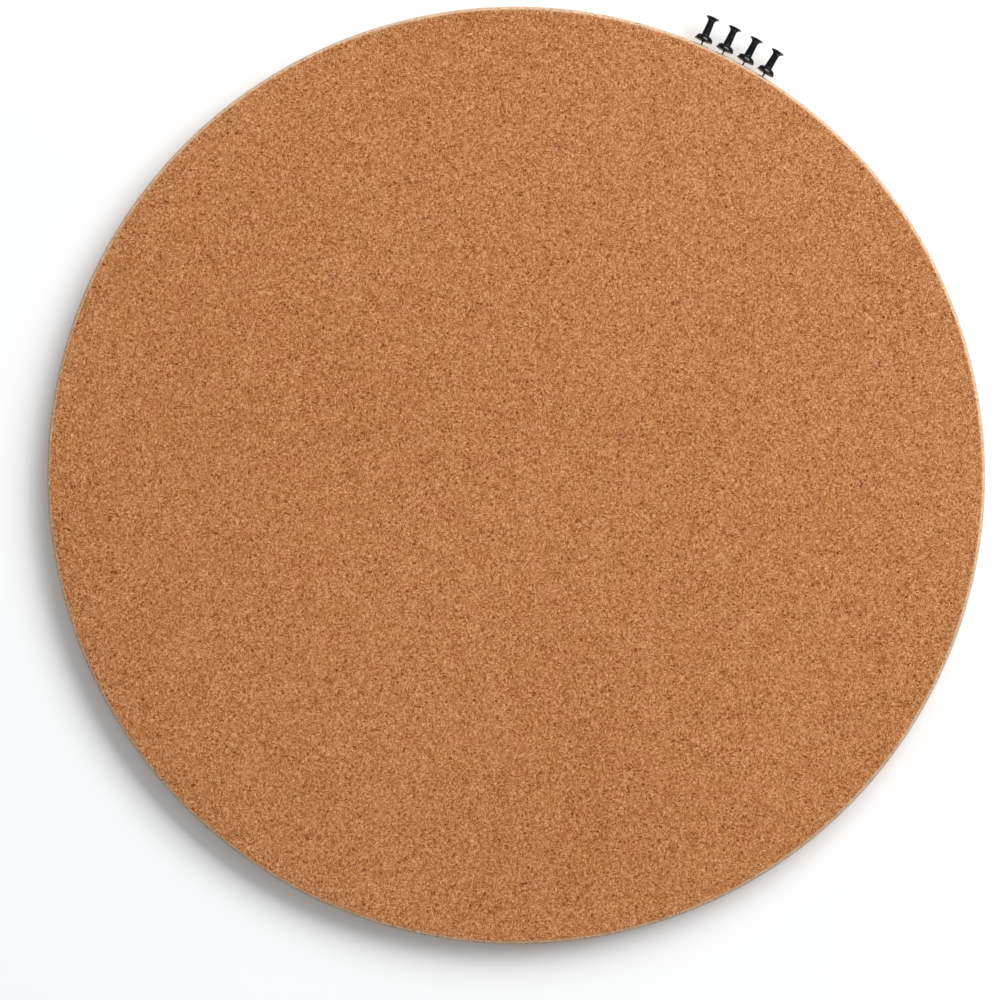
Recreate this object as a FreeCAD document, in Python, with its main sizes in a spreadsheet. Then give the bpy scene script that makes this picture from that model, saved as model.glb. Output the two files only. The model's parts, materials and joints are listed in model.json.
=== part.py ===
import FreeCAD, Part
import math
import os
import types
import Sketcher

# A round, frameless cork bulletin board that hangs flat on a wall, with four push pins in its rim.
#
# The frame: the origin is the centre of the back, which is the face against the wall. +Y points
# into the wall, so the cork faces -Y. +Z is up, and +X is to the right of someone facing the cork.
# From the wall outwards the board is a stiff backing, a soft core and a cork facing, glued face
# to face, with a thin cork band round all three.

DIMENSIONS = {
    # the board and its layers
    "board_radius": 250,
    "backing_thickness": 6,
    "core_thickness": 7.5,
    "facing_thickness": 2.5,
    "band_thickness": 2,
    "band_round_depth": 4.3,
    "band_back_round": 0.6,
    # the keyhole plates: an entry hole for the head of a wall screw, and a slot above it
    "hanger_spacing": 240,
    "hanger_height": 140,
    "plate_half_width": 9.5,
    "plate_thickness": 1.5,
    "recess_gap": 0.15,
    "entry_radius": 4.75,
    "slot_radius": 2.25,
    "slot_rise": 10,
    "pocket_radius": 6,
    # the screws that hold the plates
    "screw_reach": 19,
    "screw_past_round_end": 4,
    "screw_head_radius": 2.9,
    "screw_head_sink": 0.05,
    "screw_radius": 1.45,
    "screw_length": 12,
    "screw_point": 3,
    "screw_hole_depth": 12.5,
    "screw_gap": 0.15,
    "drive_width": 0.9,
    "drive_span": 3.2,
    "drive_depth": 1.1,
    # where the push pins are: degrees clockwise from the top, and how far in front of the wall
    "pin_first_angle": 23.25,
    "pin_pitch_angle": 2.81,
    "pin_standoff": 12.5,
    # a push pin's needle, measured from the rim
    "needle_radius": 0.5,
    "needle_sunk": 8.5,
    "needle_tip": 2.5,
    "needle_top": 10,
    "needle_hole_gap": 0.05,
    "needle_hole_depth": 10.5,
    # a push pin's handle, measured from the rim outwards
    "hub_start": 1.7,
    "hub_radius": 1,
    "flange_start": 2.2,
    "flange_radius": 5,
    "flange_lip": 0.5,
    "flange_height": 3.1,
    "flange_bulge": 3.2,
    "waist_foot_radius": 2.2,
    "waist_neck_radius": 1.85,
    "neck_height": 11,
    "cap_radius": 3.65,
    "cap_edge_height": 12.8,
    "cap_lip": 0.5,
    "cap_flare": 3,
    "cap_crown": 0.4,
}
PIN_COUNT = 4
SIDES = {"left": -1, "right": 1}
# how far outside the rim the needle holes are started, so that they break through it cleanly
DRILL_START = 1


class Size:
    """A length or an angle: its value, and the formula on the sheet's cells that gives it."""

    def __init__(self, value, formula=None):
        self.value = value
        self.formula = str(value) if formula is None else formula

    def __add__(self, other):
        other = sized(other)
        return Size(self.value + other.value, f"({self.formula} + {other.formula})")

    def __sub__(self, other):
        other = sized(other)
        return Size(self.value - other.value, f"({self.formula} - {other.formula})")

    def __mul__(self, other):
        other = sized(other)
        return Size(self.value * other.value, f"({self.formula} * {other.formula})")

    def __truediv__(self, other):
        other = sized(other)
        return Size(self.value / other.value, f"({self.formula} / {other.formula})")

    def __neg__(self):
        return Size(-self.value, f"(0 - {self.formula})")


def sized(number):
    return number if isinstance(number, Size) else Size(number)


def sine(angle):
    return Size(math.sin(math.radians(angle.value)), f"sin({angle.formula} * 1 deg)")


def cosine(angle):
    return Size(math.cos(math.radians(angle.value)), f"cos({angle.formula} * 1 deg)")


# ---------------------------------------------------------------- the document and its sheet


doc = FreeCAD.newDocument("cork_board")
sheet = doc.addObject("Spreadsheet::Sheet", "sizes")
for row, (alias, number) in enumerate(DIMENSIONS.items(), start=1):
    sheet.set(f"A{row}", alias)
    sheet.set(f"B{row}", str(number))
    sheet.setAlias(f"B{row}", alias)
doc.recompute()
cell = types.SimpleNamespace(
    **{alias: Size(float(sheet.get(alias)), f"sizes.{alias}") for alias in DIMENSIONS}
)
ZERO = Size(0)


# ---------------------------------------------------------------- sketches and features


def new_body(label):
    body = doc.addObject("PartDesign::Body", label)
    body.Label = label
    return body


def origin_item(body, role):
    return next(item for item in body.Origin.OriginFeatures if item.Role == role)


def new_sketch(body, name, role):
    sketch = body.newObject("Sketcher::SketchObject", f"{body.Name}_{name}")
    sketch.AttachmentSupport = (origin_item(body, role), "")
    sketch.MapMode = "FlatFace"
    return sketch


def bind(thing, target, amount):
    """Ties a property or a sketch constraint to the formula of a size."""
    thing.setExpression(target, sized(amount).formula)


def pin_point(sketch, geometry, point, across, up):
    """Holds a point of a sketch at a place, measured from the sketch's origin."""
    for kind, amount, axis in (("DistanceX", across, -2), ("DistanceY", up, -1)):
        if amount.value == 0:
            sketch.addConstraint(Sketcher.Constraint("PointOnObject", geometry, point, axis))
            continue
        rule = Sketcher.Constraint(kind, -1, 1, geometry, point, amount.value)
        bind(sketch, f"Constraints[{sketch.addConstraint(rule)}]", amount)


def hold_radius(sketch, geometry, radius):
    rule = Sketcher.Constraint("Radius", geometry, radius.value)
    bind(sketch, f"Constraints[{sketch.addConstraint(rule)}]", radius)


def draw_circle(sketch, across, up, radius):
    centre = FreeCAD.Vector(across.value, up.value, 0)
    circle = sketch.addGeometry(Part.Circle(centre, FreeCAD.Vector(0, 0, 1), radius.value))
    pin_point(sketch, circle, 3, across, up)
    hold_radius(sketch, circle, radius)


def draw_slot(sketch, across, low, high, radius):
    """A slot with round ends, standing upright between two end centres."""
    ends = []
    for height, start in ((high, 0), (low, math.pi)):
        centre = FreeCAD.Vector(across.value, height.value, 0)
        circle = Part.Circle(centre, FreeCAD.Vector(0, 0, 1), radius.value)
        ends.append(sketch.addGeometry(Part.ArcOfCircle(circle, start, start + math.pi)))
    for side, (upper_point, lower_point) in ((-1, (2, 1)), (1, (1, 2))):
        x = across.value + side * radius.value
        top = FreeCAD.Vector(x, high.value, 0)
        foot = FreeCAD.Vector(x, low.value, 0)
        wall = sketch.addGeometry(Part.LineSegment(top, foot))
        sketch.addConstraint(Sketcher.Constraint("Tangent", ends[0], upper_point, wall, 1))
        sketch.addConstraint(Sketcher.Constraint("Tangent", ends[1], lower_point, wall, 2))
    for end, height in zip(ends, (high, low)):
        pin_point(sketch, end, 3, across, height)
        hold_radius(sketch, end, radius)


def bulged_edge(start, end, radius, side):
    """An arc from one corner to the next. Its middle lies to the right (1) or left (-1)."""
    chord = end - start
    across = FreeCAD.Vector(chord.y, -chord.x, 0).normalize() * side
    rise = math.sqrt(radius**2 - (chord.Length / 2) ** 2)
    middle = (start + end) * 0.5 + across * (radius - rise)
    return Part.Arc(start, middle, end)


def draw_outline(sketch, corners, arcs):
    """A closed outline. arcs gives the radius and side of each edge that is an arc, by the
    number of the corner that it starts from; the other edges are straight. An arc that ends on
    the upright axis keeps its centre there, so that turning it gives part of a sphere."""
    places = [FreeCAD.Vector(across.value, up.value, 0) for across, up in corners]
    edges = []
    for number, start in enumerate(places):
        end = places[(number + 1) % len(places)]
        if number in arcs:
            radius, side = arcs[number]
            edge = sketch.addGeometry(bulged_edge(start, end, radius.value, side))
            if end.x == 0:
                sketch.addConstraint(Sketcher.Constraint("PointOnObject", edge, 3, -2))
            else:
                hold_radius(sketch, edge, radius)
        else:
            edge = sketch.addGeometry(Part.LineSegment(start, end))
        forward = sketch.getPoint(edge, 1).distanceToPoint(start) < 1e-6
        edges.append((edge, (1, 2) if forward else (2, 1)))
    for number, (edge, (first, _)) in enumerate(edges):
        before, (_, last) = edges[number - 1]
        sketch.addConstraint(Sketcher.Constraint("Coincident", before, last, edge, first))
        pin_point(sketch, edge, first, *corners[number])


def pad(body, sketch, thickness):
    feature = body.newObject("PartDesign::Pad", f"{sketch.Name}_pad")
    feature.Profile = sketch
    bind(feature, "Length", thickness)
    doc.recompute()
    return feature


def cut_with(body, feature):
    """Rebuilds the body and makes sure that the feature left new faces in it."""
    before = len(body.Shape.Faces)
    doc.recompute()
    if len(body.Shape.Faces) <= before:
        raise RuntimeError(f"{feature.Name} cut nothing")
    return feature


def pocket(body, sketch, depth, along_normal=True):
    feature = body.newObject("PartDesign::Pocket", f"{sketch.Name}_pocket")
    feature.Profile = sketch
    feature.Reversed = along_normal
    bind(feature, "Length", depth)
    return cut_with(body, feature)


def revolve(body, sketch):
    """Turns a half profile all the way round the sketch's own upright axis."""
    feature = body.newObject("PartDesign::Revolution", f"{sketch.Name}_turned")
    feature.Profile = sketch
    feature.ReferenceAxis = (sketch, ["V_Axis"])
    feature.Angle = 360
    doc.recompute()
    return feature


def mirror_left_right(body, features):
    feature = body.newObject("PartDesign::Mirrored", f"{body.Name}_mirrored")
    feature.Originals = features
    feature.MirrorPlane = (origin_item(body, "YZ_Plane"), [""])
    body.Tip = feature
    return cut_with(body, feature)


def bevel_edges(body, feature, picked, width):
    """Bevels the edges that picked says yes to, at 45 degrees."""
    shape = feature.Shape
    names = [f"Edge{n}" for n, edge in enumerate(shape.Edges, start=1) if picked(edge)]
    bevel = body.newObject("PartDesign::Chamfer", f"{feature.Name}_bevel")
    bevel.Base = (feature, names)
    bind(bevel, "Size", width)
    return cut_with(body, bevel)


def drill_needle_holes(body, standoff):
    """One straight hole for each push pin, drilled in from outside the rim of a layer whose
    back is at standoff from the wall."""
    clear_of_rim = cell.board_radius + DRILL_START
    angle = cell.pin_first_angle
    sketch = new_sketch(body, "needle_hole", "XY_Plane")
    turn = FreeCAD.Rotation(FreeCAD.Vector(0, 1, 0), angle.value)
    start = turn.multVec(FreeCAD.Vector(0, 0, clear_of_rim.value))
    sketch.AttachmentOffset = FreeCAD.Placement(start, turn)
    bind(sketch, "AttachmentOffset.Rotation.Angle", angle)
    bind(sketch, "AttachmentOffset.Base.x", clear_of_rim * sine(angle))
    bind(sketch, "AttachmentOffset.Base.z", clear_of_rim * cosine(angle))
    hole_radius = cell.needle_radius + cell.needle_hole_gap
    draw_circle(sketch, ZERO, standoff - cell.pin_standoff, hole_radius)
    depth = cell.needle_hole_depth + DRILL_START
    hole = pocket(body, sketch, depth, along_normal=False)
    pattern = body.newObject("PartDesign::PolarPattern", f"{body.Name}_needle_holes")
    pattern.Originals = [hole]
    pattern.Axis = (origin_item(body, "Y_Axis"), [""])
    pattern.Occurrences = PIN_COUNT
    bind(pattern, "Angle", cell.pin_pitch_angle * (PIN_COUNT - 1))
    body.Tip = pattern
    cut_with(body, pattern)


# ---------------------------------------------------------------- the board's layers


def disc(label, thickness, standoff):
    """A flat disc that fits inside the edge band, with its back at standoff from the wall."""
    body = new_body(label)
    sketch = new_sketch(body, "outline", "XZ_Plane")
    draw_circle(sketch, ZERO, ZERO, cell.board_radius - cell.band_thickness)
    pad(body, sketch, thickness)
    bind(body, "Placement.Base.y", -standoff)
    return body


def screw_holes(body, depth):
    """Holes above and below the place of the right keyhole plate, for the screws' threads."""
    sketch = new_sketch(body, "screw_holes", "XZ_Plane")
    middle = cell.hanger_height + cell.slot_rise / 2
    for reach in (-cell.screw_reach, cell.screw_reach):
        draw_circle(sketch, cell.hanger_spacing / 2, middle + reach, cell.screw_radius)
    return pocket(body, sketch, depth)


def backing_panel():
    """The stiff back, with a shallow seat and a deeper pocket for each keyhole plate."""
    body = disc("backing_panel", cell.backing_thickness, ZERO)
    across = cell.hanger_spacing / 2
    entry = cell.hanger_height
    seat = new_sketch(body, "plate_seat", "XZ_Plane")
    overhang = plate_overhang()
    seat_radius = cell.plate_half_width + cell.recess_gap
    draw_slot(seat, across, entry - overhang, entry + cell.slot_rise + overhang, seat_radius)
    seat_cut = pocket(body, seat, cell.plate_thickness)
    room = new_sketch(body, "head_room", "XZ_Plane")
    draw_slot(room, across, entry, entry + cell.slot_rise, cell.pocket_radius)
    room_cut = pocket(body, room, cell.backing_thickness)
    holes_cut = screw_holes(body, cell.backing_thickness)
    mirror_left_right(body, [seat_cut, room_cut, holes_cut])
    return body


def softboard_core():
    """The soft middle, which grips the needles and the tips of the hanger screws."""
    body = disc("softboard_core", cell.core_thickness, cell.backing_thickness)
    holes_cut = screw_holes(body, cell.screw_hole_depth - cell.backing_thickness)
    mirror_left_right(body, [holes_cut])
    drill_needle_holes(body, cell.backing_thickness)
    return body


def cork_facing():
    return disc(
        "cork_facing", cell.facing_thickness, cell.backing_thickness + cell.core_thickness
    )


def edge_band():
    """The band round the rim, as deep as the three layers. Its front is one long round, which
    starts at the edge of the facing and runs smoothly into the side."""
    body = new_body("edge_band")
    depth = cell.backing_thickness + cell.core_thickness + cell.facing_thickness
    outer = cell.board_radius
    width = cell.band_thickness
    inner = outer - width
    round_depth = cell.band_round_depth
    front_radius = (width * width + round_depth * round_depth) / (width * 2)
    sketch = new_sketch(body, "section", "XY_Plane")
    corners = [
        (inner, ZERO),
        (inner, -depth),
        (outer, round_depth - depth),
        (outer, -cell.band_back_round),
        (outer - cell.band_back_round, ZERO),
    ]
    arcs = {1: (front_radius, 1), 3: (cell.band_back_round, 1)}
    draw_outline(sketch, corners, arcs)
    revolve(body, sketch)
    drill_needle_holes(body, ZERO)
    return body


# ---------------------------------------------------------------- the keyhole plates


def plate_overhang():
    """How far the centres of a plate's round ends lie past the two ends of its keyhole."""
    return cell.screw_reach - cell.screw_past_round_end - cell.slot_rise / 2


def hanger_plate(side_name, side):
    """A steel keyhole plate. Its own origin is the centre of the entry hole, on the outer face."""
    body = new_body(f"hanger_plate_{side_name}")
    outline = new_sketch(body, "outline", "XZ_Plane")
    overhang = plate_overhang()
    draw_slot(outline, ZERO, -overhang, cell.slot_rise + overhang, cell.plate_half_width)
    pad(body, outline, cell.plate_thickness)
    entry = new_sketch(body, "entry", "XZ_Plane")
    draw_circle(entry, ZERO, ZERO, cell.entry_radius)
    pocket(body, entry, cell.plate_thickness)
    slot = new_sketch(body, "slot", "XZ_Plane")
    draw_slot(slot, ZERO, ZERO, cell.slot_rise, cell.slot_radius)
    pocket(body, slot, cell.plate_thickness)
    holes = new_sketch(body, "screw_holes", "XZ_Plane")
    hole_radius = cell.screw_radius + cell.screw_gap
    for reach in (-cell.screw_reach, cell.screw_reach):
        draw_circle(holes, ZERO, cell.slot_rise / 2 + reach, hole_radius)
    drilled = pocket(body, holes, cell.plate_thickness)
    seat_width = cell.screw_head_radius + cell.screw_head_sink - hole_radius

    def is_outer_rim_of_screw_hole(edge):
        curve = edge.Curve
        is_round = isinstance(curve, Part.Circle) and abs(curve.Radius - hole_radius.value) < 1e-6
        return is_round and abs(curve.Center.y) < 1e-6

    bevel_edges(body, drilled, is_outer_rim_of_screw_hole, seat_width)
    bind(body, "Placement.Base.x", cell.hanger_spacing / 2 * side)
    bind(body, "Placement.Base.z", cell.hanger_height)
    return body


def hanger_screw(side_name, side, level_name, level):
    """A countersunk wood screw with a cross recess, driven in along -Y."""
    body = new_body(f"hanger_screw_{side_name}_{level_name}")
    sketch = new_sketch(body, "section", "XY_Plane")
    top = -cell.screw_head_sink
    cone_depth = cell.screw_head_radius - cell.screw_radius
    corners = [
        (ZERO, top),
        (ZERO, -cell.screw_length),
        (cell.screw_radius, cell.screw_point - cell.screw_length),
        (cell.screw_radius, top - cone_depth),
        (cell.screw_head_radius, top),
    ]
    draw_outline(sketch, corners, {})
    revolve(body, sketch)
    half_width = cell.drive_width / 2
    half_span = cell.drive_span / 2
    for name, across, up in (("wide", half_span, half_width), ("tall", half_width, half_span)):
        arm = new_sketch(body, f"drive_{name}", "XZ_Plane")
        draw_outline(arm, [(-across, -up), (across, -up), (across, up), (-across, up)], {})
        pocket(body, arm, cell.drive_depth)
    bind(body, "Placement.Base.x", cell.hanger_spacing / 2 * side)
    bind(body, "Placement.Base.z", cell.hanger_height + cell.slot_rise / 2 + cell.screw_reach * level)
    return body


# ---------------------------------------------------------------- the push pins


def place_on_rim(body, number):
    """Stands a pin's piece, built upright, on the rim at its own place along it."""
    angle = cell.pin_first_angle + cell.pin_pitch_angle * number
    turn = FreeCAD.Rotation(FreeCAD.Vector(0, 1, 0), angle.value)
    body.Placement = FreeCAD.Placement(FreeCAD.Vector(0, 0, 0), turn)
    bind(body, "Placement.Rotation.Angle", angle)
    bind(body, "Placement.Base.x", cell.board_radius * sine(angle))
    bind(body, "Placement.Base.y", -cell.pin_standoff)
    bind(body, "Placement.Base.z", cell.board_radius * cosine(angle))


def pin_handle(number):
    """The moulded handle: hub, domed flange, tapered waist and flared cap, bored for the needle."""
    body = new_body(f"push_pin_{number + 1}_handle")
    sketch = new_sketch(body, "section", "XZ_Plane")
    start = cell.flange_start
    cap_rim = start + cell.cap_edge_height + cell.cap_lip
    crown = cell.cap_crown
    crown_radius = (cell.cap_radius * cell.cap_radius + crown * crown) / (crown * 2)
    corners = [
        (cell.needle_radius, cell.hub_start),
        (cell.hub_radius, cell.hub_start),
        (cell.hub_radius, start),
        (cell.flange_radius, start),
        (cell.flange_radius, start + cell.flange_lip),
        (cell.waist_foot_radius, start + cell.flange_height),
        (cell.waist_neck_radius, start + cell.neck_height),
        (cell.cap_radius, start + cell.cap_edge_height),
        (cell.cap_radius, cap_rim),
        (ZERO, cap_rim + crown),
        (ZERO, cell.needle_top),
        (cell.needle_radius, cell.needle_top),
    ]
    arcs = {
        4: (cell.flange_bulge, 1),
        6: (cell.cap_flare, -1),
        8: (crown_radius, 1),
    }
    draw_outline(sketch, corners, arcs)
    revolve(body, sketch)
    place_on_rim(body, number)
    return body


def pin_needle(number):
    """The steel needle, with its upper half held in the handle and its point in the board."""
    body = new_body(f"push_pin_{number + 1}_needle")
    sketch = new_sketch(body, "section", "XZ_Plane")
    corners = [
        (ZERO, -cell.needle_sunk),
        (cell.needle_radius, cell.needle_tip - cell.needle_sunk),
        (cell.needle_radius, cell.needle_top),
        (ZERO, cell.needle_top),
    ]
    draw_outline(sketch, corners, {})
    revolve(body, sketch)
    place_on_rim(body, number)
    return body


# ---------------------------------------------------------------- putting it together


def all_pieces():
    pieces = [backing_panel(), softboard_core(), cork_facing(), edge_band()]
    for side_name, side in SIDES.items():
        pieces.append(hanger_plate(side_name, side))
        for level_name, level in (("upper", 1), ("lower", -1)):
            pieces.append(hanger_screw(side_name, side, level_name, level))
    for number in range(PIN_COUNT):
        pieces.append(pin_handle(number))
        pieces.append(pin_needle(number))
    return pieces


def check_document(pieces):
    """Stops if any object failed to rebuild, or a piece has no sound shape."""
    for item in doc.Objects:
        if {"Invalid", "Error"} & set(item.State):
            raise RuntimeError(f"{item.Name} is {item.State}")
    for piece in pieces:
        shape = piece.Shape
        if shape.isNull() or not shape.isValid() or len(shape.Solids) != 1:
            raise RuntimeError(f"{piece.Label} has no single sound solid")


pieces = all_pieces()
doc.recompute()
check_document(pieces)
os.makedirs("parts", exist_ok=True)
for piece in pieces:
    piece.Shape.exportStep(f"parts/{piece.Label}.step")
    box = piece.Shape.BoundBox
    print(f"{piece.Label}: {piece.Shape.Volume:.1f} mm3, y {box.YMin:.2f} to {box.YMax:.2f}")
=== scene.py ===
import json
import math
import bpy
from mathutils import Matrix, Vector


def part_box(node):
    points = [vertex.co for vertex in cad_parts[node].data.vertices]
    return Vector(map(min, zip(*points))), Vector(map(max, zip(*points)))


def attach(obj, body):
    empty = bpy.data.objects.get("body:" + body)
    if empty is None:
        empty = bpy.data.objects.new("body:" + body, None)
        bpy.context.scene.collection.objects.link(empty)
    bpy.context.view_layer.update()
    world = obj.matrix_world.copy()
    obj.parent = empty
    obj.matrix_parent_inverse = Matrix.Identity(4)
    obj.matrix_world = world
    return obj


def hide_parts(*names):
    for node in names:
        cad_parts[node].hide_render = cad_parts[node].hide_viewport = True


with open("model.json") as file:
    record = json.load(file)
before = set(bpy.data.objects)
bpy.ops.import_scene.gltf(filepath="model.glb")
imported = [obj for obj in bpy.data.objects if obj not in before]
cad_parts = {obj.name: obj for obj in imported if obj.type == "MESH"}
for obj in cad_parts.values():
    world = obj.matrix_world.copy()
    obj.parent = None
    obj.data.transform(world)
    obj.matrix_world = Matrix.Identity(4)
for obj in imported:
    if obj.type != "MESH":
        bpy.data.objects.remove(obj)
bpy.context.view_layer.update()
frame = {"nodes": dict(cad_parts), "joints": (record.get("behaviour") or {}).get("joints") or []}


# ------------------------------------------------------------------ backing panel
# The stiff back of the board: a disc of smooth brown fibreboard, 6 mm thick, glued to the softboard
# in front of it. A router has let a shallow seat and a deeper pocket into it for each keyhole plate.

MM = 0.001


class Value:
    """A shader socket. Arithmetic on it adds Math nodes."""

    def __init__(self, finish, socket):
        self.finish = finish
        self.socket = socket

    def other(self, output):
        """Another output of the node that this socket belongs to."""
        return Value(self.finish, self.socket.node.outputs[output])

    def worked(self, operation, *numbers):
        return self.finish.node("ShaderNodeMath", {"operation": operation}, dict(enumerate(numbers)))

    def __add__(self, number):
        return self.worked("ADD", self, number)

    def __radd__(self, number):
        return self.worked("ADD", number, self)

    def __sub__(self, number):
        return self.worked("SUBTRACT", self, number)

    def __rsub__(self, number):
        return self.worked("SUBTRACT", number, self)

    def __mul__(self, number):
        return self.worked("MULTIPLY", self, number)

    def __rmul__(self, number):
        return self.worked("MULTIPLY", number, self)

    def __gt__(self, number):
        return self.worked("GREATER_THAN", self, number)


class Finish:
    """A material being made: one method adds any node, and the rest are short names for common ones."""

    def __init__(self, name, **fixed):
        self.material = bpy.data.materials.new(name)
        self.material.use_nodes = True
        self.tree = self.material.node_tree
        self.shader = self.tree.nodes["Principled BSDF"]
        for socket, amount in fixed.items():
            self.shader.inputs[socket.replace("_", " ")].default_value = amount
        self.place = self.node("ShaderNodeTexCoord").other("Object")

    def node(self, kind, settings=(), inputs=(), output=0):
        """Any node, with its settings and inputs. stops are the stops of a colour ramp."""
        node = self.tree.nodes.new(kind)
        for name, setting in dict(settings).items():
            if name != "stops":
                setattr(node, name, setting)
                continue
            ramp = node.color_ramp.elements
            while len(ramp) < len(setting):
                ramp.new(1)
            for stop, (position, colour) in zip(ramp, setting):
                stop.position = position
                stop.color = (*colour, 1)
        for name, amount in dict(inputs).items():
            self.feed(node.inputs[name], amount)
        return Value(self, node.outputs[output])

    def feed(self, socket, amount):
        """Links a Value to a socket, or sets a plain number or colour on it."""
        if isinstance(amount, Value):
            self.tree.links.new(amount.socket, socket)
        elif socket.type == "RGBA":
            socket.default_value = (*amount, 1)
        else:
            socket.default_value = amount

    def scaled(self, scale, place=None):
        """The piece's own coordinates in metres, stretched by scale along X, Y and Z."""
        inputs = {"Vector": place or self.place, "Scale": scale}
        return self.node("ShaderNodeMapping", {}, inputs)

    def noise(self, place, scale, detail=2.0, roughness=0.5):
        inputs = {"Vector": place, "Scale": scale, "Detail": detail, "Roughness": roughness}
        return self.node("ShaderNodeTexNoise", {}, inputs)

    def cells(self, place, scale, feature="F1"):
        inputs = {"Vector": place, "Scale": scale}
        return self.node("ShaderNodeTexVoronoi", {"feature": feature}, inputs)

    def split(self, colour):
        """Three separate values from one colour."""
        red = self.node("ShaderNodeSeparateColor", {}, {"Color": colour})
        return red, red.other("Green"), red.other("Blue")

    def spread(self, number, low, high, new_low=0.0, new_high=1.0):
        """A value between low and high, clamped and moved to between new_low and new_high."""
        inputs = {0: number, 1: low, 2: high, 3: new_low, 4: new_high}
        return self.node("ShaderNodeMapRange", {"clamp": True}, inputs)

    def ramp(self, number, stops):
        return self.node("ShaderNodeValToRGB", {"stops": stops}, {"Fac": number})

    def mix(self, share, first, second, way="MIX"):
        settings = {"data_type": "RGBA", "blend_type": way}
        return self.node("ShaderNodeMix", settings, {0: share, 6: first, 7: second}, 2)

    def relief(self, height, depth, strength=1.0):
        """Feeds a height map, whose full swing is depth in metres, to the surface."""
        inputs = {"Height": height, "Distance": depth, "Strength": strength}
        self.feed(self.shader.inputs["Normal"], self.node("ShaderNodeBump", {}, inputs))

    def paint(self, **inputs):
        for socket, amount in inputs.items():
            self.feed(self.shader.inputs[socket.replace("_", " ")], amount)
        return self.material


def cover(piece, material):
    """Gives a piece one material, in the place of any that it has."""
    piece.data.materials.clear()
    piece.data.materials.append(material)


def fibreboard():
    """Fine fibres in every direction, dark flecks of bark and a faint sanded cloudiness."""
    board = Finish("smooth_fibreboard", Specular_IOR_Level=0.35)
    upright = board.noise(board.scaled((1900, 1900, 260)), 1, 3)
    level = board.noise(board.scaled((260, 1900, 1900)), 1, 3)
    fibres = upright * 0.5 + level * 0.5
    cloud = board.noise(board.place, 14, 4)
    fleck = board.split(board.cells(board.place, 850).other("Color"))[0] > 0.975
    tone = fibres * 0.7 + cloud * 0.3
    stops = [(0.30, (0.150, 0.080, 0.036)), (0.5, (0.270, 0.158, 0.080)), (0.7, (0.395, 0.255, 0.145))]
    colour = board.mix(fleck * 0.55, board.ramp(tone, stops), (0.075, 0.038, 0.018))
    board.relief(fibres, 0.06 * MM, 0.7)
    return board.paint(Base_Color=colour, Roughness=board.spread(tone, 0.35, 0.65, 0.55, 0.78))


cover(frame["nodes"]["backing_panel"], fibreboard())


# ------------------------------------------------------------------ keyhole plates
# Two stamped steel plates, zinc plated and let in flush with the back. The head of a wall screw
# goes in at the round entry, and the board drops until the shank stands at the top of the slot.


def softened_copy(node, name, width, segments=2):
    """A piece with a node's shape, but with its sharp edges rounded over by width."""
    piece = frame["nodes"][node].copy()
    piece.data = piece.data.copy()
    piece.name = name
    for key in list(piece.keys()):
        del piece[key]
    piece.parent = None
    bpy.context.scene.collection.objects.link(piece)
    bpy.ops.object.select_all(action="DESELECT")
    piece.select_set(True)
    bpy.context.view_layer.objects.active = piece
    bpy.ops.object.mode_set(mode="EDIT")
    bpy.ops.mesh.select_all(action="SELECT")
    bpy.ops.mesh.remove_doubles(threshold=0.002 * MM)
    bpy.ops.mesh.dissolve_limited(angle_limit=math.radians(0.3))
    bpy.ops.object.mode_set(mode="OBJECT")
    edge = piece.modifiers.new("edge", "BEVEL")
    edge.width = width
    edge.segments = segments
    edge.limit_method = "ANGLE"
    edge.angle_limit = math.radians(30)
    bpy.ops.object.modifier_apply(modifier="edge")
    bpy.ops.object.shade_smooth_by_angle(angle=math.radians(35))
    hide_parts(node)
    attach(piece, "board")
    return piece


def zinc_plate(middle):
    """Bright zinc over rolled steel, with faint rolling lines, dull blooms and rubbed rings."""
    zinc = Finish("bright_zinc_plate", Metallic=1.0)
    lines = zinc.noise(zinc.scaled((5200, 5200, 130)), 1, 2)
    bloom = zinc.noise(zinc.place, 210, 4, 0.6)
    grit = zinc.noise(zinc.place, 2600, 2)
    reach = zinc.node("ShaderNodeVectorMath", {"operation": "DISTANCE"}, {0: zinc.place, 1: middle}, 1)
    rubbed = zinc.spread(reach, 4.5 * MM, 9 * MM, 1, 0) * zinc.spread(lines, 0.45, 0.6)
    stops = [(0.30, (0.43, 0.44, 0.46)), (0.55, (0.60, 0.61, 0.625)), (0.75, (0.70, 0.70, 0.69))]
    colour = zinc.mix(rubbed * 0.5, zinc.ramp(bloom * 0.7 + lines * 0.3, stops), (0.78, 0.78, 0.77))
    gloss = zinc.spread(bloom * 0.6 + grit * 0.4, 0.35, 0.65, 0.27, 0.46) - rubbed * 0.1
    zinc.relief(lines * 0.5 + grit * 0.5, 0.012 * MM, 0.5)
    return zinc.paint(Base_Color=colour, Roughness=gloss)


for side in ("left", "right"):
    plate = softened_copy(f"hanger_plate_{side}", f"keyhole_plate_{side}", 0.18 * MM, 3)
    low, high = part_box(f"hanger_plate_{side}")
    cover(plate, zinc_plate((low + high) / 2))


# ------------------------------------------------------------------ hanger screws
# Four countersunk wood screws with a cross recess, in yellow zinc plated steel. Each goes through
# its plate and the backing into the softboard, and the plate hides all of it but the head.


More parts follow.
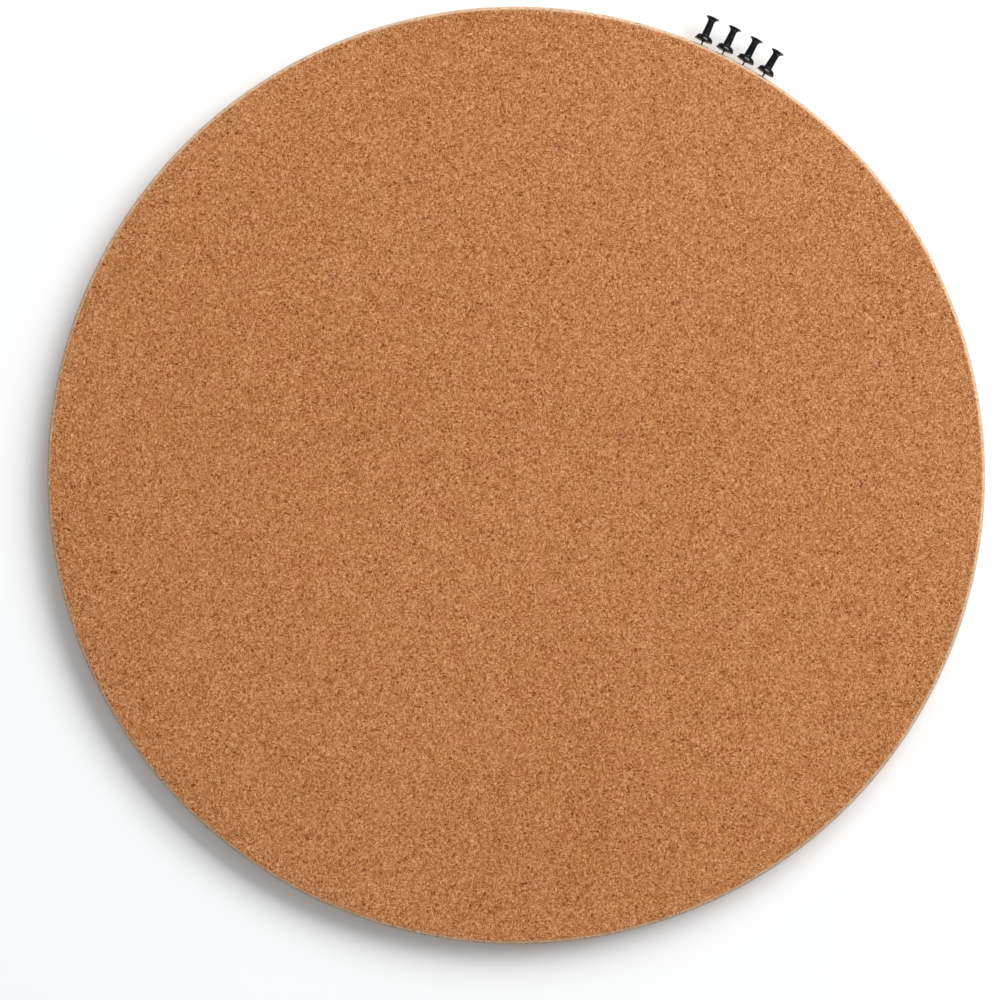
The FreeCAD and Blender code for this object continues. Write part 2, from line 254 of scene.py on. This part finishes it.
def yellow_zinc(middle):
    """Yellow passivated zinc, which shades from straw to a greenish pink, and a driver's bright marks."""
    zinc = Finish("yellow_zinc_screw", Metallic=1.0)
    film = zinc.noise(zinc.place, 420, 3)
    grit = zinc.noise(zinc.place, 5200, 2)
    reach = zinc.node("ShaderNodeVectorMath", {"operation": "DISTANCE"}, {0: zinc.place, 1: middle}, 1)
    driven = zinc.spread(reach, 0.7 * MM, 1.9 * MM, 1, 0) * zinc.spread(grit, 0.42, 0.6)
    straw, greenish = [(0.3, (0.62, 0.50, 0.26)), (0.5, (0.72, 0.62, 0.34))], (0.62, (0.60, 0.60, 0.38))
    stops = [*straw, greenish, (0.75, (0.70, 0.48, 0.38))]
    colour = zinc.mix(driven * 0.6, zinc.ramp(film, stops), (0.72, 0.70, 0.66))
    zinc.relief(grit, 0.01 * MM, 0.5)
    return zinc.paint(Base_Color=colour, Roughness=zinc.spread(grit + film, 0.8, 1.2, 0.24, 0.42))


for side in ("left", "right"):
    for level in ("upper", "lower"):
        screw = softened_copy(f"hanger_screw_{side}_{level}", f"plate_screw_{side}_{level}", 0.08 * MM)
        low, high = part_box(f"hanger_screw_{side}_{level}")
        head = Vector(((low.x + high.x) / 2, high.y, (low.z + high.z) / 2))
        cover(screw, yellow_zinc(head))


# ------------------------------------------------------------------ softboard core
# A disc of soft wood-fibre board, 7.5 mm thick, that takes and grips the pins. The band and the two
# faces hide it, apart from what shows at the bottom of the keyhole pockets.


def softboard():
    """Loose, matted fibres in straw and brown, with small hollows between them, sunk in and painted near
    black as painted shade.
    """
    felt = Finish("soft_fibre_core", Specular_IOR_Level=0.2)
    upright = felt.noise(felt.scaled((1300, 1300, 190)), 1, 4)
    level = felt.noise(felt.scaled((190, 1300, 1300)), 1, 4)
    matted = felt.noise(felt.place, 900, 3)
    tone = upright * 0.35 + level * 0.35 + matted * 0.3
    # Painted shade: the hollows between the fibres are sunk in and painted near black, for the shade that
    # falls in them.
    voids_hollowed_and_shaded = felt.spread(matted, 0.3, 0.4, 1, 0)
    stops = [(0.35, (0.20, 0.125, 0.062)), (0.5, (0.36, 0.25, 0.145)), (0.65, (0.52, 0.40, 0.26))]
    felt.relief(tone - voids_hollowed_and_shaded * 0.3, 0.25 * MM, 0.8)
    colour = felt.mix(voids_hollowed_and_shaded * 0.5, felt.ramp(tone, stops), (0.10, 0.06, 0.03))
    return felt.paint(Base_Color=colour, Roughness=felt.spread(tone, 0.3, 0.7, 0.95, 0.82))


cover(frame["nodes"]["softboard_core"], softboard())


# ------------------------------------------------------------------ cork facing
# The pinning face: a 2.5 mm disc sliced from a block of fine cork granules pressed with a binder,
# sanded matte and glued to the core. Its rim is eased a little where it meets the edge band.

FACING_SANDED = 1.0 * MM
FACING_DROP = 0.3 * MM
RIM_STEPS = 720
CORK_SHADE = (189, 123, 71)
# The pale ring painted at the facing's rim: partly cork that the sanding has rubbed paler, partly a
# painted highlight where light catches the eased edge.
RIM_PALENESS_AND_HIGHLIGHT_SHADE = (216, 176, 140)
RIM_PALENESS_AND_HIGHLIGHT_WIDTH = 0.6 * MM
LIT = 1.25


def daylight(shade):
    """A colour given as three screen levels of 0 to 255, as the linear numbers that shaders use."""
    return tuple(((level / 255 + 0.055) / 1.055) ** 2.4 for level in shade)


def cork_tones(shade, lit):
    """Ramp stops from dark to light about a cork's middle shade. The lighter the granule, the paler
    it is too. lit is how brightly the room shows a white surface."""
    stops = []
    darker = {0: (-78, -80, -80), 0.25: (-40, -40, -40)}
    lighter = {0.75: (33, 37, 39), 1: (53, 63, 69)}
    for position, swing in {**darker, 0.5: (0, 0, 0), **lighter}.items():
        levels = daylight([max(level + change, 2) for level, change in zip(shade, swing)])
        stops.append((position, tuple(level / lit for level in levels)))
    return stops


def pressed_cork(name, shade, lit, granule, contrast, relief_depth, pale_and_highlit_rim=None):
    """Cork granules of about the given size, pressed together with a brown binder: chips that are
    each a little lighter or darker than the next, short streaks that lie every way, thin dark gaps,
    odd flecks of bark, and broad soft changes of tint. The last argument is the radius of a disc
    whose rim is painted paler: partly cork that the sanding has rubbed paler, and partly a painted
    highlight where light catches the eased edge."""
    cork = Finish(name, Specular_IOR_Level=0.2)
    wander = cork.noise(cork.place, 0.9 / granule, 2).other("Color")
    swirl = cork.node("ShaderNodeVectorMath", {"operation": "SUBTRACT"}, {0: wander, 1: (0.5, 0.5, 0.5)})
    swirl = cork.node("ShaderNodeVectorMath", {"operation": "SCALE"}, {0: swirl, "Scale": granule * 1.8})
    bent = cork.node("ShaderNodeVectorMath", {"operation": "ADD"}, {0: cork.place, 1: swirl})
    tint, bark, cream = cork.split(cork.cells(bent, 0.95 / granule).other("Color"))
    crumb = cork.split(cork.cells(bent, 1.7 / granule).other("Color"))[0]
    gap = cork.spread(cork.cells(bent, 0.95 / granule, "DISTANCE_TO_EDGE"), 0.0, 0.16, 1, 0)
    upright = cork.noise(cork.scaled((1, 1, 0.3), bent), 1.7 / granule, 1)
    level = cork.noise(cork.scaled((0.3, 1, 1), bent), 1.7 / granule, 1)
    lie = cork.spread(cork.noise(cork.place, 0.35 / granule, 1), 0.45, 0.55)
    streak = upright * lie + level * (1 - lie)
    dust = cork.noise(cork.place, 2.6 / granule, 1)
    cloud = cork.noise(cork.place, 60, 4, 0.6)
    broad = cork.noise(cork.place, 6, 2)
    chips = (tint - 0.5) * 0.22 + (crumb - 0.5) * 0.26
    grains = chips + (streak - 0.5) * 1.5 + (dust - 0.5) * 0.9 - gap * 0.09
    tone = grains * contrast + 0.53 + (cloud - 0.5) * 0.12 + (broad - 0.5) * 0.1
    colour = cork.ramp(tone, cork_tones(shade, lit))
    ruddy = cork.noise(cork.place, 75, 3)
    colour = cork.mix(cork.spread(ruddy, 0.5, 0.7), colour, (1.02, 0.985, 1.0), "MULTIPLY")
    colour = cork.mix(cork.spread(ruddy, 0.3, 0.5, 1, 0), colour, (0.995, 1.008, 0.96), "MULTIPLY")
    dark = (bark > 0.965) * cork.spread(streak, 0.45, 0.6, 0.8, 0.3)
    pale = (cream > 0.965) * 0.5
    bark_shade = [max(level - 88, 3) for level in shade]
    cream_shade = [min(level + change, 250) for level, change in zip(shade, (22, 34, 40))]
    colour = cork.mix(dark, colour, daylight(bark_shade))
    colour = cork.mix(pale, colour, daylight(cream_shade))
    # Real paleness and painted highlight: the disc's rim is painted paler, partly as sanded cork and
    # partly as a painted highlight on the eased edge.
    if pale_and_highlit_rim:
        radius = cork.node("ShaderNodeVectorMath", {"operation": "LENGTH"}, {0: cork.scaled((1, 0, 1))})
        ragged = radius.other("Value") + (streak - 0.5) * RIM_PALENESS_AND_HIGHLIGHT_WIDTH * 2.5
        rubbed = cork.spread(ragged, pale_and_highlit_rim - RIM_PALENESS_AND_HIGHLIGHT_WIDTH, pale_and_highlit_rim, 0, 0.6)
        colour = cork.mix(rubbed, colour, [level / lit for level in daylight(RIM_PALENESS_AND_HIGHLIGHT_SHADE)])
    height = tint * 0.2 + crumb * 0.3 + streak * 0.5 - gap * 0.35 - dark * 0.6
    cork.relief(height, relief_depth)
    return cork.paint(Base_Color=colour, Roughness=cork.spread(grains, -0.3, 0.3, 0.95, 0.8))


def bare_mesh_edit(piece):
    """Starts editing a piece alone, with nothing in it selected."""
    bpy.ops.object.select_all(action="DESELECT")
    piece.select_set(True)
    bpy.context.view_layer.objects.active = piece
    bpy.ops.object.mode_set(mode="EDIT")
    bpy.ops.mesh.select_all(action="DESELECT")


def finish_in_place(piece, angle=30):
    """Ends the editing: normals out, place and turn into the mesh, smooth but for sharp edges."""
    bpy.ops.object.mode_set(mode="EDIT")
    bpy.ops.mesh.select_all(action="SELECT")
    bpy.ops.mesh.remove_doubles(threshold=0.0005 * MM)
    bpy.ops.mesh.normals_make_consistent(inside=False)
    bpy.ops.object.mode_set(mode="OBJECT")
    bpy.ops.object.transform_apply(location=True, rotation=True, scale=True)
    bpy.ops.object.shade_smooth_by_angle(angle=math.radians(angle))


facing_low, facing_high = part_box("cork_facing")
band_low, band_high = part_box("edge_band")
facing_radius = facing_high.x
board_radius = band_high.x
bpy.ops.object.select_all(action="DESELECT")
bpy.ops.mesh.primitive_cylinder_add(
    vertices=RIM_STEPS,
    radius=facing_radius,
    depth=facing_high.y - facing_low.y - FACING_DROP,
    location=(0, (facing_low.y + facing_high.y + FACING_DROP) / 2, 0),
    rotation=(math.radians(90), 0, 0),
)
facing = bpy.context.object
facing.name = "cork_sheet"
bare_mesh_edit(facing)
bpy.ops.object.mode_set(mode="OBJECT")
for face in facing.data.polygons:
    face.select = face.normal.z > 0.9
bpy.ops.object.mode_set(mode="EDIT")
for ring in range(3):
    bpy.ops.mesh.inset(thickness=FACING_SANDED / 3)
    lift = FACING_DROP * (5, 3, 1)[ring] / 9
    bpy.ops.transform.translate(value=(0, -lift, 0))
finish_in_place(facing, 50)
cover(facing, pressed_cork("fine_cork_face", CORK_SHADE, LIT, 1.0 * MM, 0.88, 0.1 * MM, facing_radius))
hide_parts("cork_facing")
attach(facing, "board")


# ------------------------------------------------------------------ edge band
# A 2 mm strip of paler cork, as wide as the board is thick, bent round the rim, glued and butted at
# the bottom. Its front is sanded to one long round, and four needles have been pushed through it.

BAND_ROUND_DEPTH = 4.3 * MM
BAND_BACK_ROUND = 0.6 * MM
BAND_STEPS = 1200
BAND_SANDED = 0.3 * MM
BAND_SWELL = 0.1 * MM
BAND_SHADE = (218, 180, 146)
NEEDLE_HOLE = 0.55 * MM
DRILL_LENGTH = 12 * MM
pins = [joint for joint in frame["joints"] if joint["type"] == "slide"]
pin_height = sum(corner.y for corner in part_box("push_pin_1_needle")) / 2


def band_section():
    """Points (distance from the middle, height over the wall) of the strip's cut end."""
    inner = facing_radius + 0.02 * MM
    width = board_radius - inner
    front_radius = (width**2 + BAND_ROUND_DEPTH**2) / (2 * width)
    turn = math.asin(BAND_ROUND_DEPTH / front_radius)
    foot, top = band_high.y - BAND_BACK_ROUND, band_low.y + BAND_ROUND_DEPTH
    points = [(inner, band_high.y), (inner, band_low.y + BAND_SANDED)]
    for step in range(1, 15):
        angle = turn * (1 - step / 14) * 0.94
        across = board_radius - front_radius * (1 - math.cos(angle))
        points.append((across, top - front_radius * math.sin(angle)))
    for step in range(1, 12):
        points.append((board_radius, top + (foot - top) * step / 11))
    for step in range(1, 4):
        angle = math.radians(30 * step)
        across = board_radius - BAND_BACK_ROUND * (1 - math.cos(angle))
        points.append((across, foot + BAND_BACK_ROUND * math.sin(angle)))
    return [Vector((across, height, 0)) for across, height in points]


section = band_section()
bpy.ops.object.select_all(action="DESELECT")
bpy.ops.mesh.primitive_plane_add(size=0.01 * MM, location=(0, 0, 0))
band = bpy.context.object
band.name = "cork_edge_strip"
bare_mesh_edit(band)
bpy.ops.mesh.select_mode(type="VERT")
bpy.ops.mesh.select_all(action="SELECT")
bpy.ops.mesh.merge(type="CENTER")
bpy.ops.transform.translate(value=section[0])
for before, after in zip(section, section[1:] + section[:1]):
    bpy.ops.mesh.extrude_region_move(TRANSFORM_OT_translate={"value": after - before})
bpy.ops.object.mode_set(mode="OBJECT")
ring = band.modifiers.new("ring", "SCREW")
ring.axis = "Y"
ring.steps = ring.render_steps = BAND_STEPS
ring.use_merge_vertices = True
bpy.ops.object.modifier_apply(modifier="ring")
finish_in_place(band, 40)
grain = bpy.data.textures.new("band_grain", "CLOUDS")
grain.noise_scale = 1.6 * MM
grain.noise_depth = 1
swell = band.modifiers.new("grain", "DISPLACE")
swell.texture = grain
swell.texture_coords = "LOCAL"
swell.strength = BAND_SWELL
swell.mid_level = 0.72
bpy.ops.object.modifier_apply(modifier="grain")

drills = []
for joint in pins:
    outward = Vector(joint["axis"])
    bpy.ops.mesh.primitive_cylinder_add(
        vertices=24,
        radius=NEEDLE_HOLE,
        depth=DRILL_LENGTH,
        location=outward * board_radius + Vector((0, pin_height, 0)),
        rotation=outward.to_track_quat("Z", "Y").to_euler(),
    )
    drills.append(bpy.context.object)
bpy.ops.object.select_all(action="DESELECT")
for drill in drills:
    drill.select_set(True)
bpy.ops.object.join()
drill = bpy.context.object
bpy.ops.object.select_all(action="DESELECT")
band.select_set(True)
bpy.context.view_layer.objects.active = band
hole = band.modifiers.new("needle_holes", "BOOLEAN")
hole.object = drill
hole.operation = "DIFFERENCE"
bpy.ops.object.modifier_apply(modifier="needle_holes")
bpy.data.objects.remove(drill)
cover(band, pressed_cork("pale_cork_edge", BAND_SHADE, LIT, 0.9 * MM, 0.6, 0.15 * MM))
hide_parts("edge_band")
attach(band, "board")


# ------------------------------------------------------------------ push pin needles
# A hardened steel needle for each pin, ground to a round point and polished. Its blunt end is
# moulded into the handle, 8.5 mm of it stand in the board, and 1.7 mm show at the rim.

NEEDLE_RADIUS = 0.5 * MM
NEEDLE_SUNK = 8.5 * MM
NEEDLE_TIP = 2.5 * MM
NEEDLE_TOP = 10 * MM
POINT_RADIUS = 0.04 * MM


def turned(name, stations, segments):
    """A closed piece turned about the Z axis: a ring at each (radius, height), drawn out from the
    one before it, with the first and the last ring closed at its centre."""
    bpy.ops.object.select_all(action="DESELECT")
    radius, height = stations[0]
    bpy.ops.mesh.primitive_circle_add(
        vertices=segments, radius=radius, location=(0, 0, height), fill_type="TRIFAN"
    )
    piece = bpy.context.object
    piece.name = name
    bpy.ops.object.transform_apply(location=True, rotation=False, scale=False)
    bare_mesh_edit(piece)
    bpy.ops.mesh.select_mode(type="EDGE")
    bpy.ops.mesh.select_all(action="SELECT")
    bpy.ops.mesh.region_to_loop()
    for new_radius, new_height in stations[1:]:
        step = {"value": (0, 0, new_height - height)}
        bpy.ops.mesh.extrude_edges_move(TRANSFORM_OT_translate=step)
        ratio = new_radius / radius
        bpy.ops.transform.resize(value=(ratio, ratio, 1), center_override=(0, 0, new_height))
        radius, height = new_radius, new_height
    bpy.ops.mesh.extrude_edges_move()
    bpy.ops.mesh.merge(type="CENTER")
    return piece


def stand_on_rim(piece, joint):
    """Turns and moves a pin's upright piece to the place on the rim that its joint points out."""
    outward = Vector(joint["axis"])
    piece.rotation_euler = (0, math.atan2(outward.x, outward.z), 0)
    piece.location = outward * board_radius + Vector((0, pin_height, 0))


def polished_steel():
    """Bright hard steel, with fine grinding rings round the needle and a breath of tarnish. Its colour is
    painted darker, as a painted reflection of the dim room in front of it.
    """
    steel = Finish("polished_needle_steel", Metallic=1.0)
    rings = steel.noise(steel.scaled((900, 2600, 5200)), 1, 2)
    tarnish = steel.noise(steel.place, 520, 3)
    # The dark stops are painted shade: the steel is painted darker to stand for the dim room that it
    # reflects.
    stops = [(0.35, (0.20, 0.20, 0.21)), (0.6, (0.38, 0.38, 0.39))]
    steel.relief(rings, 0.006 * MM, 0.5)
    gloss = steel.spread(rings * 0.5 + tarnish * 0.5, 0.35, 0.65, 0.14, 0.3)
    return steel.paint(Base_Color=steel.ramp(tarnish, stops), Roughness=gloss)


needle_steel = polished_steel()
needle_stations = [
    (POINT_RADIUS, -NEEDLE_SUNK),
    (0.25 * NEEDLE_RADIUS, 0.17 * NEEDLE_TIP - NEEDLE_SUNK),
    (0.62 * NEEDLE_RADIUS, 0.52 * NEEDLE_TIP - NEEDLE_SUNK),
    (0.92 * NEEDLE_RADIUS, 0.87 * NEEDLE_TIP - NEEDLE_SUNK),
    (NEEDLE_RADIUS, NEEDLE_TIP * 1.08 - NEEDLE_SUNK),
    (NEEDLE_RADIUS, NEEDLE_TOP),
]
for joint in pins:
    needle = turned(f"{joint['child']}_steel", needle_stations, 32)
    stand_on_rim(needle, joint)
    finish_in_place(needle)
    cover(needle, needle_steel)
    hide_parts(f"{joint['child']}_needle")
    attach(needle, joint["child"])


# ------------------------------------------------------------------ push pin handles
# Each handle is one shot of glossy black polystyrene, moulded round the needle: a small hub, a domed
# flange, a waist that narrows upwards for the fingers, and a cap that flares to a thin lip.

HUB = (1 * MM, 1.7 * MM)
FLANGE_RADIUS = 5 * MM
FLANGE_FOOT = 2.2 * MM
FLANGE_RISE = 0.15 * MM
FLANGE_LIP = 0.5 * MM
FLANGE_TOP = 5.3 * MM
FLANGE_BULGE = 0.65 * MM
WAIST_FOOT_RADIUS = 2.2 * MM
NECK = (1.85 * MM, 13.2 * MM)
CAP_RADIUS = 3.65 * MM
CAP_EDGE = 15 * MM
CAP_FLARE = 0.33 * MM
CAP_LIP = 0.5 * MM
CAP_CROWN = 0.4 * MM
MOULD_ROUND = 0.16 * MM


def swept(start, end, bulge, steps):
    """Points on an arc from one (radius, height) to another, standing off its chord by bulge,
    which is positive on the outside of a piece that is drawn from the foot up."""
    chord = Vector(end) - Vector(start)
    off = Vector((chord.y, -chord.x)).normalized()
    points = []
    for step in range(steps + 1):
        along = step / steps
        points.append(tuple(Vector(start) + chord * along + off * bulge * 4 * along * (1 - along)))
    return points


def rounded_corner(corner, before, after, radius):
    """Three points that take the sharpness off a corner between two directions."""
    corner, before, after = Vector(corner), Vector(before).normalized(), Vector(after).normalized()
    first = corner + before * radius
    last = corner + after * radius
    return [tuple(first), tuple((first + last) / 4 + corner / 2), tuple(last)]


def handle_stations():
    """The handle's outline, from the bore for the needle, out over the flange and up to the crown."""
    hub_radius, hub_foot = HUB
    neck_radius, neck_height = NECK
    flange_edge = FLANGE_FOOT + FLANGE_RISE
    rim_top = CAP_EDGE + CAP_LIP
    foot = WAIST_FOOT_RADIUS
    points = [(NEEDLE_RADIUS, NEEDLE_TOP), (NEEDLE_RADIUS, hub_foot)]
    points += rounded_corner(HUB, (-1, 0), (0, 1), MOULD_ROUND / 2)
    points += rounded_corner((hub_radius, FLANGE_FOOT), (0, -1), (1, 0), MOULD_ROUND)
    points += rounded_corner((FLANGE_RADIUS, flange_edge), (-1, -0.05), (0, 1), MOULD_ROUND)
    lip = (FLANGE_RADIUS, FLANGE_FOOT + FLANGE_LIP)
    points += swept(lip, (foot + 0.25 * MM, FLANGE_TOP - 0.06 * MM), FLANGE_BULGE, 12)
    root = (foot + 0.08 * MM, FLANGE_TOP + 0.02 * MM)
    points += swept(root, (foot - 0.03 * MM, FLANGE_TOP + 0.35 * MM), -0.03 * MM, 4)
    points += swept((foot - 0.09 * MM, FLANGE_TOP + 1.5 * MM), (neck_radius, neck_height - 0.4 * MM), 0, 5)
    points += swept((neck_radius, neck_height), (CAP_RADIUS - 0.1 * MM, CAP_EDGE), -CAP_FLARE, 12)
    points += rounded_corner((CAP_RADIUS, CAP_EDGE + 0.06 * MM), (-1, -0.3), (0, 1), MOULD_ROUND / 2)
    points += rounded_corner((CAP_RADIUS, rim_top), (0, -1), (-1, 0.1), MOULD_ROUND * 1.2)
    crown = (0.5 * MM, rim_top + CAP_CROWN)
    points += swept((CAP_RADIUS - 0.4 * MM, rim_top + 0.05 * MM), crown, 0.09 * MM, 8)
    return points


def black_polystyrene():
    """Deep black moulded plastic: glossy, with a fine orange peel, hazy patches and hairline rubs."""
    plastic = Finish("gloss_black_polystyrene", IOR=1.45)
    peel = plastic.noise(plastic.place, 2400, 2)
    haze = plastic.noise(plastic.place, 260, 4)
    rubs = plastic.noise(plastic.scaled((900, 7000, 900)), 1, 2)
    stops = [(0.3, (0.003, 0.003, 0.0035)), (0.7, (0.0075, 0.0075, 0.0085))]
    gloss = plastic.spread(haze, 0.3, 0.7, 0.14, 0.24) + plastic.spread(rubs, 0.62, 0.75, 0, 0.12)
    plastic.relief(peel * 0.7 + rubs * 0.3, 0.02 * MM, 0.35)
    return plastic.paint(Base_Color=plastic.ramp(haze, stops), Roughness=gloss)


black_plastic = black_polystyrene()
for joint in pins:
    handle = turned(f"{joint['child']}_grip", handle_stations(), 64)
    stand_on_rim(handle, joint)
    finish_in_place(handle, 40)
    cover(handle, black_plastic)
    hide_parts(f"{joint['child']}_handle")
    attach(handle, joint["child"])


# ------------------------------------------------------------------ studio
# The board hangs flat on a white wall above a pale floor. One wide softbox stands high on the right
# in front of it, an even white room fills the shadows, and a small softbox lights the back. The wall
# has a round hole behind the board, and is seen only from its front, so that the back can be seen.

WALL_HALF = 4.0
WALL_GAP = 0.3 * MM
WALL_TUCK = 0.7 * MM
FLOOR_DROP = 2.2
WALL_WHITE = 0.84
KEY_CLOCK_ANGLE = math.radians(45.7)
KEY_RISE = math.radians(42.8)
KEY_DISTANCE = 4.8
KEY_WIDTH = 0.95 * KEY_DISTANCE
KEY_HEIGHT = 0.52 * KEY_DISTANCE
KEY_POWER = 268
ROOM_GLOW = 0.55
ROOM_LEAN = 0.55
ROOM_CLOCK_ANGLE = math.radians(22)
ROOM_TINT = (0.97, 0.995, 1.02)
GLINT_BEFORE = 0.11
GLINT_BEHIND = 0.3
GLINT_TURN = 0.3
BACK_DIRECTION = (-0.5, 1, 0.6)
BACK_DISTANCE = 1.8
BACK_SIDE = 1.2
BACK_POWER = 16


def matte_white(name, level):
    """Flat white paint, a hair uneven."""
    paint = Finish(name, Specular_IOR_Level=0.0)
    mottle = paint.noise(paint.place, 3, 2)
    low, high = level * 0.995, level * 1.005
    shade = paint.ramp(mottle, [(0.3, (low, low, low)), (0.7, (high, high, high))])
    paint.paint(Base_Color=shade, Roughness=0.9)
    return paint


bpy.ops.object.select_all(action="DESELECT")
bpy.ops.mesh.primitive_circle_add(
    vertices=RIM_STEPS,
    radius=board_radius - WALL_TUCK,
    location=(0, WALL_GAP, 0),
    rotation=(math.radians(90), 0, 0),
)
wall = bpy.context.object
wall.name = "studio_wall"
bpy.ops.object.mode_set(mode="EDIT")
bpy.ops.mesh.select_mode(type="EDGE")
bpy.ops.mesh.select_all(action="SELECT")
bpy.ops.mesh.extrude_edges_move()
ratio = WALL_HALF / board_radius
bpy.ops.transform.resize(value=(ratio, 1, ratio), center_override=(0, WALL_GAP, 0))
bpy.ops.mesh.select_all(action="SELECT")
bpy.ops.object.mode_set(mode="OBJECT")
bpy.ops.object.transform_apply(location=True, rotation=True, scale=True)
if wall.data.polygons[0].normal.y > 0:
    bpy.ops.object.mode_set(mode="EDIT")
    bpy.ops.mesh.flip_normals()
    bpy.ops.object.mode_set(mode="OBJECT")
wall_paint = matte_white("wall_paint", WALL_WHITE)
see_through = wall_paint.node("ShaderNodeBsdfTransparent")
from_behind = wall_paint.node("ShaderNodeNewGeometry").other("Backfacing")
one_sided = wall_paint.node(
    "ShaderNodeMixShader",
    {},
    {0: from_behind, 1: Value(wall_paint, wall_paint.shader.outputs[0]), 2: see_through},
)
output = wall_paint.tree.nodes["Material Output"]
wall_paint.feed(output.inputs["Surface"], one_sided)
cover(wall, wall_paint.material)
wall.visible_glossy = False

bpy.ops.mesh.primitive_plane_add(size=2 * WALL_HALF, location=(0, 0, -FLOOR_DROP))
floor = bpy.context.object
floor.name = "studio_floor"
cover(floor, matte_white("floor_paint", WALL_WHITE).material)
floor.visible_diffuse = False
floor.visible_shadow = False


class Room(Finish):
    """The light of the room from every side, made with the same nodes as a finish."""

    def __init__(self, name):
        self.world = bpy.data.worlds.new(name)
        self.world.use_nodes = True
        self.tree = self.world.node_tree


# The room is brighter towards a window at the top. Polished pieces see a darker room in front of the
# wall than behind it, and what the camera sees past the wall is plain white.
room = Room("white_room")
looking = room.node("ShaderNodeTexCoord").other("Generated")
window = (math.sin(ROOM_CLOCK_ANGLE), 0, math.cos(ROOM_CLOCK_ANGLE))
facing_window = {0: looking, 1: window}
toward_window = room.node("ShaderNodeVectorMath", {"operation": "DOT_PRODUCT"}, facing_window, "Value")
glow = room.spread(toward_window, -1, 1, ROOM_GLOW * (1 - ROOM_LEAN), ROOM_GLOW * (1 + ROOM_LEAN))
behind = room.node("ShaderNodeSeparateXYZ", {}, {0: looking}, "Y")
glint = room.spread(behind, -GLINT_TURN, GLINT_TURN, GLINT_BEFORE, GLINT_BEHIND)
ray = room.node("ShaderNodeLightPath")
bounced = room.node("ShaderNodeMix", {}, {0: ray.other("Is Glossy Ray"), 2: glow, 3: glint})
strength = room.node("ShaderNodeMix", {}, {0: ray.other("Is Camera Ray"), 2: bounced, 3: 1})
room_light = room.tree.nodes["Background"]
room.feed(room_light.inputs["Color"], ROOM_TINT)
room.feed(room_light.inputs["Strength"], strength)
bpy.context.scene.world = room.world


def softbox(name, direction, distance, width, height, power):
    """A softbox that faces the middle of the board. Its width lies along the wall."""
    lamp = bpy.data.lights.new(name, "AREA")
    lamp.shape = "RECTANGLE"
    lamp.size = width
    lamp.size_y = height
    lamp.energy = power
    lamp_object = bpy.data.objects.new(name, lamp)
    away = Vector(direction).normalized()
    lamp_object.location = away * distance
    across = away.cross((0, 1, 0)).normalized()
    axes = Matrix((across, away.cross(across), away))
    lamp_object.rotation_euler = axes.transposed().to_euler()
    lamp_object.visible_camera = False
    bpy.context.scene.collection.objects.link(lamp_object)


along_wall = math.cos(KEY_RISE)
key_direction = (
    along_wall * math.sin(KEY_CLOCK_ANGLE),
    -math.sin(KEY_RISE),
    along_wall * math.cos(KEY_CLOCK_ANGLE),
)
softbox("key_softbox", key_direction, KEY_DISTANCE, KEY_WIDTH, KEY_HEIGHT, KEY_POWER)
softbox("back_softbox", BACK_DIRECTION, BACK_DISTANCE, BACK_SIDE, BACK_SIDE, BACK_POWER)

# The camera looks straight at the board through a long lens. The width is what it sees at the rim.
LENS = 135
SENSOR = 36
FRAME_WIDTH = 533.16 * MM
CAMERA_X = -8.64 * MM
CAMERA_Z = -13.06 * MM
camera_data = bpy.data.cameras.new("camera")
camera_data.lens = LENS
camera_data.sensor_width = SENSOR
camera = bpy.data.objects.new("camera", camera_data)
camera_distance = FRAME_WIDTH * LENS / SENSOR
camera.location = (CAMERA_X, band_low.y + BAND_ROUND_DEPTH - camera_distance, CAMERA_Z)
camera.rotation_euler = (math.radians(90), 0, 0)
bpy.context.scene.collection.objects.link(camera)
bpy.context.scene.camera = camera
bpy.context.scene.view_settings.view_transform = "Standard"
